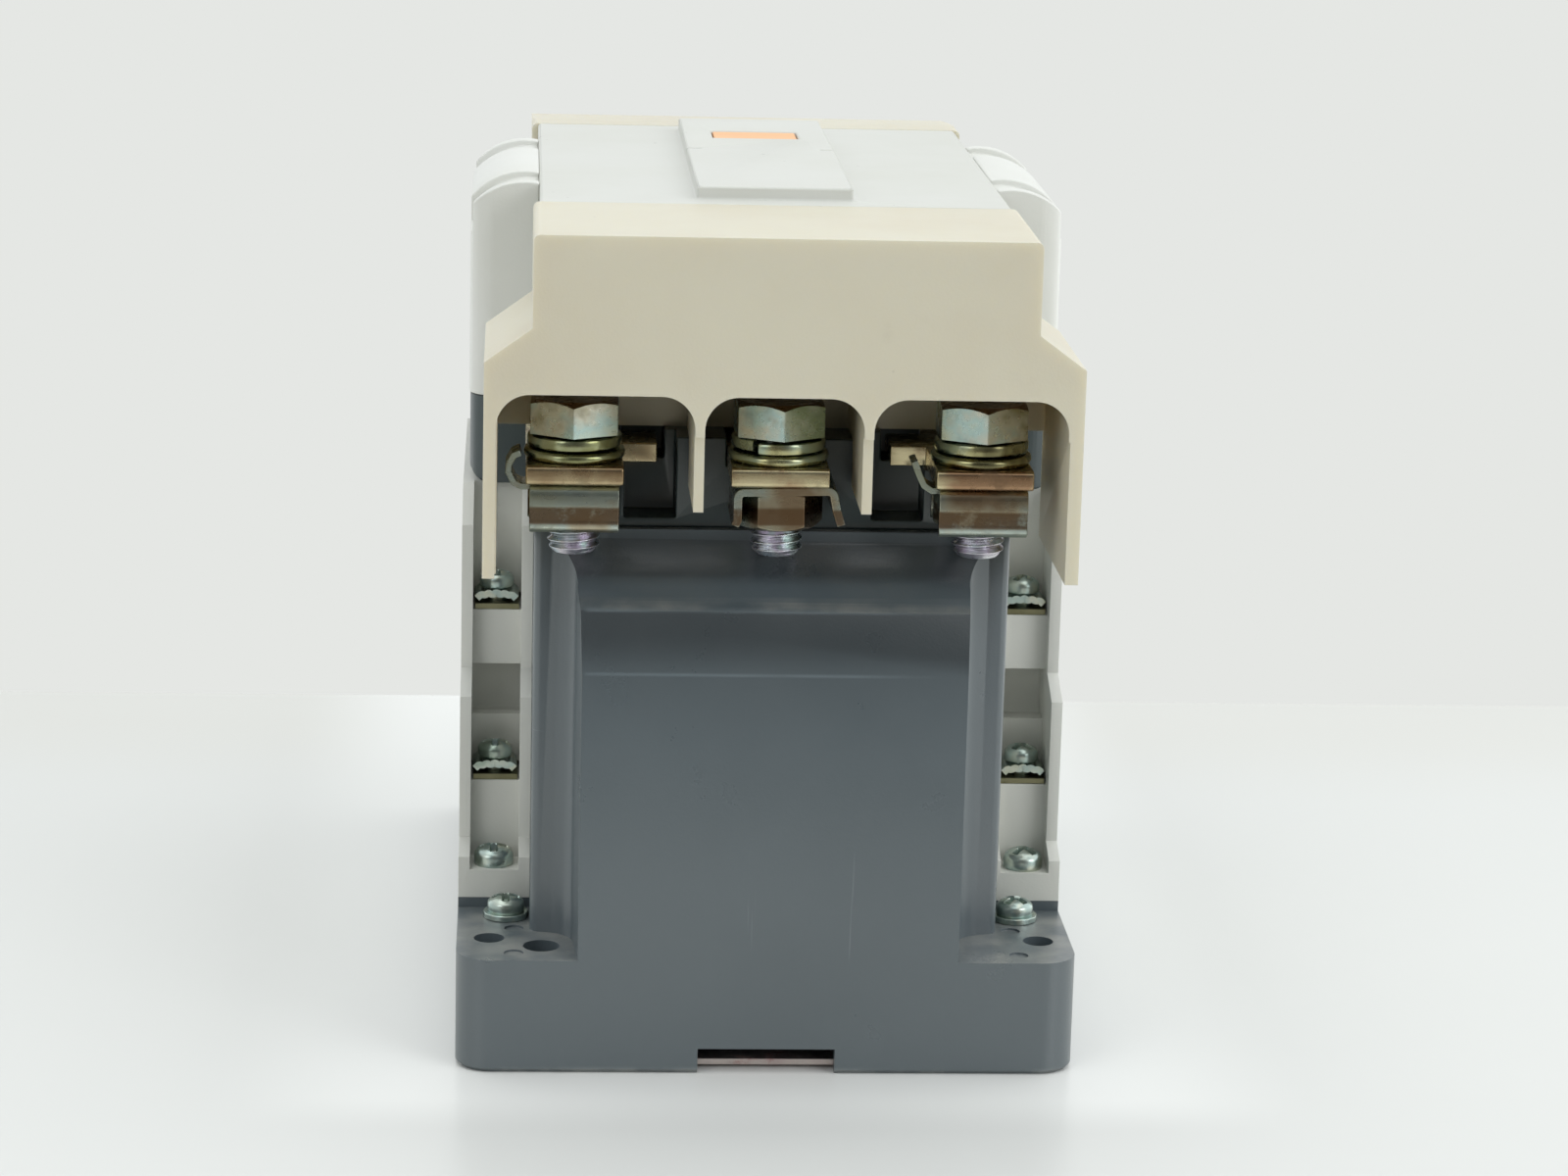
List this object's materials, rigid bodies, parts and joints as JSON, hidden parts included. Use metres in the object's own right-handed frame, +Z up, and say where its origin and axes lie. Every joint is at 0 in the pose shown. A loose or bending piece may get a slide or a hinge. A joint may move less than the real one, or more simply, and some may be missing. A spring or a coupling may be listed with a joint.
{
  "type": "magnetic contactor",
  "caption": "Three-pole magnetic contactor with a dark base, pale covers, shrouded screw terminals and auxiliary contact blocks on both sides.",
  "frame": {"origin": "centre of the bounding box at the base underside, which stands on Z = 0", "axes": "+X across the three poles, to the right seen from the load side; +Y from the load side (-Y, facing the picture) to the line side; +Z up from the foot to the cover"},
  "size_m": [0.095, 0.158, 0.132],
  "materials": {
    "dark_plastic": "satin moulded, slightly scuffed",
    "arc_plastic": "satin moulded",
    "cover_plastic": "satin moulded",
    "aux_plastic": "satin moulded",
    "beige_plastic": "satin moulded, slightly yellowed",
    "orange_plastic": "satin moulded",
    "inner_plastic": "matt moulded",
    "bobbin_plastic": "matt moulded",
    "zinc": "zinc plated, faint iridescence",
    "steel": "laminated, lightly oiled",
    "spring_steel": "bright drawn",
    "brass": "dull",
    "copper": "enamelled",
    "silver": "satin",
    "rubber": "matt"
  },
  "bodies": {
    "frame": {"base_frame": "dark_plastic", "back_plate": "zinc", "base_screws": "zinc", "base_screw_washers": "zinc", "core_cushions": "rubber", "fixed_core": "steel", "shading_rings": "copper", "coil_bobbin": "bobbin_plastic", "coil_winding": "copper", "coil_terminal_plates": "brass", "coil_terminal_screws": "zinc", "return_spring_1": "spring_steel", "return_spring_2": "spring_steel", "upper_frame": "dark_plastic", "fixed_contact_tips": "silver", "arc_cover": "arc_plastic", "front_cover": "cover_plastic", "aux_terminal_screws": "zinc", "aux_fixing_screws": "zinc", "load_contact_1": "brass", "line_contact_1": "brass", "load_contact_2": "brass", "line_contact_2": "brass", "load_contact_3": "brass", "line_contact_3": "brass", "load_terminal_bolts": "zinc", "load_nut_clips": "zinc", "load_nuts": "zinc", "load_flat_washers": "zinc", "load_spring_washers": "zinc", "load_deion_plates": "steel", "load_terminal_cover": "beige_plastic", "line_terminal_bolts": "zinc", "line_nut_clips": "zinc", "line_nuts": "zinc", "line_flat_washers": "zinc", "line_spring_washers": "zinc", "line_deion_plates": "steel", "line_terminal_cover": "beige_plastic", "left_aux_case": "aux_plastic", "left_aux_terminals": "brass", "left_aux_clamps": "zinc", "right_aux_case": "aux_plastic", "right_aux_terminals": "brass", "right_aux_clamps": "zinc"},
    "armature_group": {"contact_carrier": "inner_plastic", "armature": "steel", "armature_pin": "steel", "indicator": "orange_plastic", "left_aux_slider": "inner_plastic", "right_aux_slider": "inner_plastic", "left_aux_contact_bridges": "brass", "right_aux_contact_bridges": "brass", "contact_spring_1": "spring_steel", "contact_spring_2": "spring_steel", "contact_spring_3": "spring_steel"},
    "bridge_1": {"contact_bridge_1": "copper"},
    "bridge_2": {"contact_bridge_2": "copper"},
    "bridge_3": {"contact_bridge_3": "copper"}
  },
  "joints": [
    {"name": "armature_stroke", "type": "slide", "parent": "frame", "child": "armature_group", "axis": [0, 0, -1], "range_m": [0, 0.007], "stiffness_N_per_m": 3000, "springref_m": -0.005, "deforming": ["return_spring_1", "return_spring_2"]},
    {"name": "contact_overtravel_1", "type": "slide", "parent": "armature_group", "child": "bridge_1", "axis": [0, 0, 1], "range_m": [0, 0.002], "deforming": ["contact_spring_1"]},
    {"name": "contact_overtravel_2", "type": "slide", "parent": "armature_group", "child": "bridge_2", "axis": [0, 0, 1], "range_m": [0, 0.002], "deforming": ["contact_spring_2"]},
    {"name": "contact_overtravel_3", "type": "slide", "parent": "armature_group", "child": "bridge_3", "axis": [0, 0, 1], "range_m": [0, 0.002], "deforming": ["contact_spring_3"]}
  ],
  "couplings": [
    {"joint": "contact_overtravel_1", "follows": "armature_stroke", "ratio": 0.2857},
    {"joint": "contact_overtravel_2", "follows": "armature_stroke", "ratio": 0.2857},
    {"joint": "contact_overtravel_3", "follows": "armature_stroke", "ratio": 0.2857}
  ]
}
